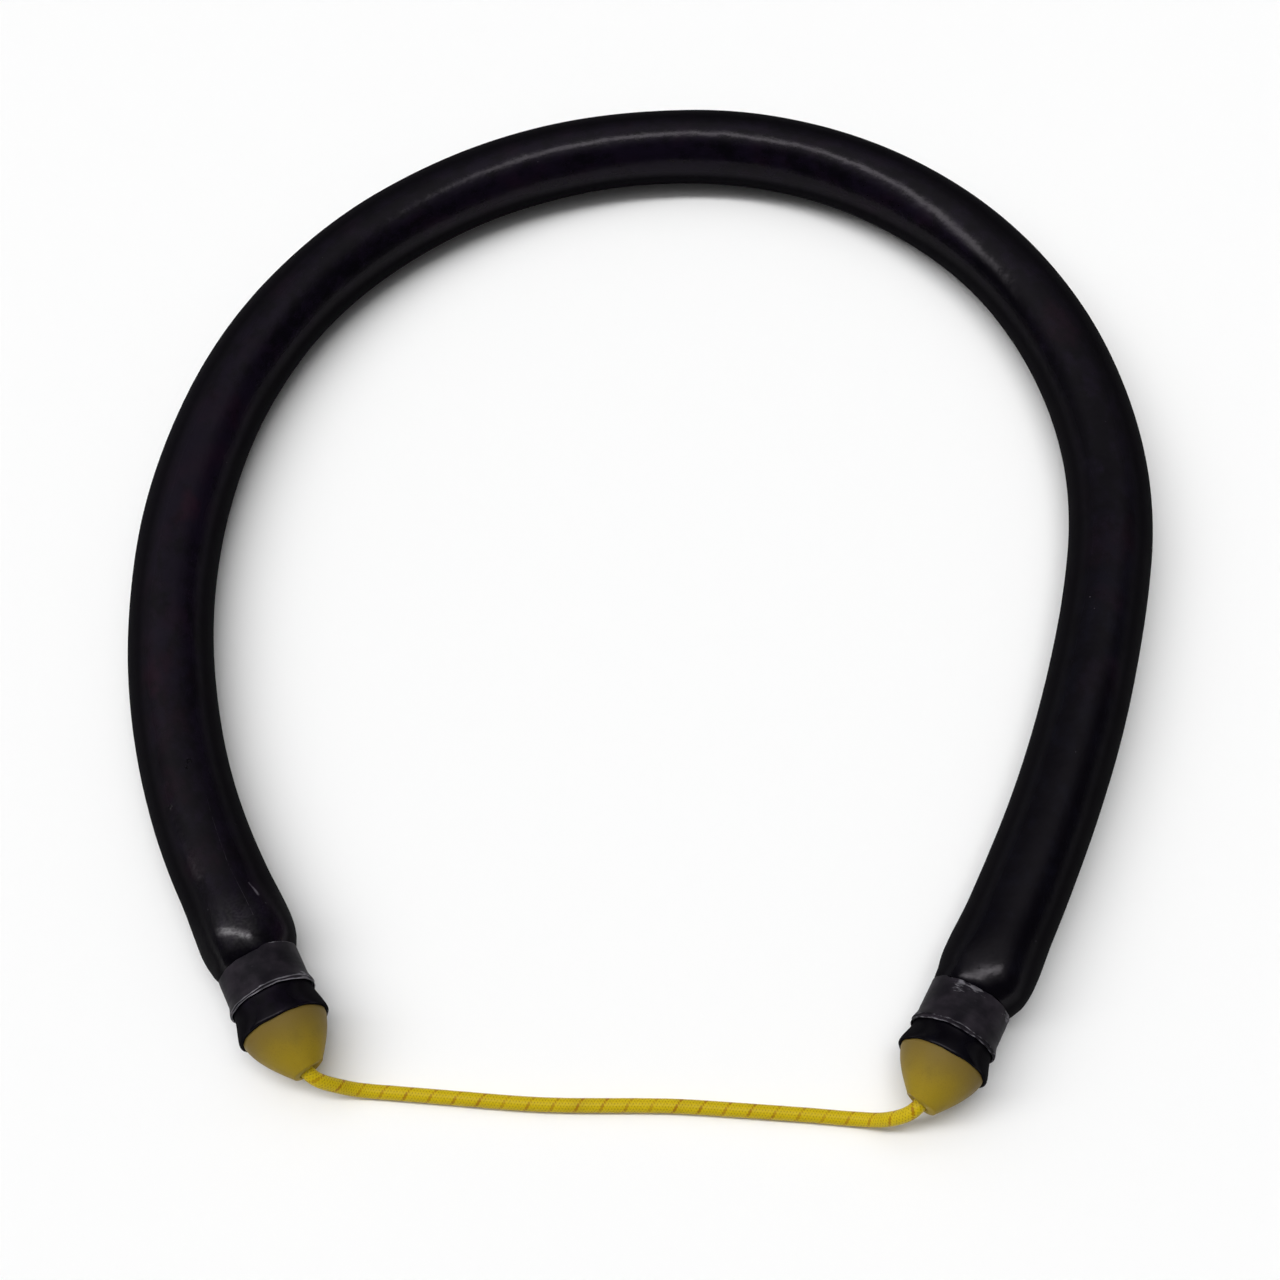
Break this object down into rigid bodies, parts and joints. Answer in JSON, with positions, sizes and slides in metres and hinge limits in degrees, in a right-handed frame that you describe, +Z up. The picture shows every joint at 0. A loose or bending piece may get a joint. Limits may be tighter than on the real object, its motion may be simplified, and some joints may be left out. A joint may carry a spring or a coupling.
{
  "type": "tube resistance band",
  "caption": "Open loop of thick black rubber tube with a bound conical plug in each end and a yellow braided elastic cord joining the plugs as a pull bridle.",
  "frame": {"origin": "centre of the resting object's footprint, on the floor", "axes": "+X right, +Y toward the crown of the loop, +Z up; the bridle cord and the plugs are at -Y"},
  "size_m": [0.1998, 0.2278, 0.0168],
  "materials": {
    "tube_rubber": "smooth semi-gloss black rubber with light scuffs",
    "plug_nylon": "translucent natural nylon, yellowed",
    "binding_tape": "dull dark grey self-bonding rubber tape",
    "waxed_twine": "dark waxed twine",
    "elastic_cord": "yellow braided cord with an orange-brown tracer"
  },
  "bodies": {
    "band": {"rubber_tube": "tube_rubber"},
    "bridle": {"left_plug": "plug_nylon", "right_plug": "plug_nylon", "left_ligature": "waxed_twine", "right_ligature": "waxed_twine", "left_binding_tape": "binding_tape", "right_binding_tape": "binding_tape", "left_cord_end": "elastic_cord", "right_cord_end": "elastic_cord", "bridle_cord": "elastic_cord"}
  },
  "joints": [
    {"name": "band_stretch", "type": "slide", "parent": "band", "child": "bridle", "axis": [0, -1, 0], "range_m": [0, 0.25], "stiffness_N_per_m": 980, "deforming": ["rubber_tube"]}
  ]
}
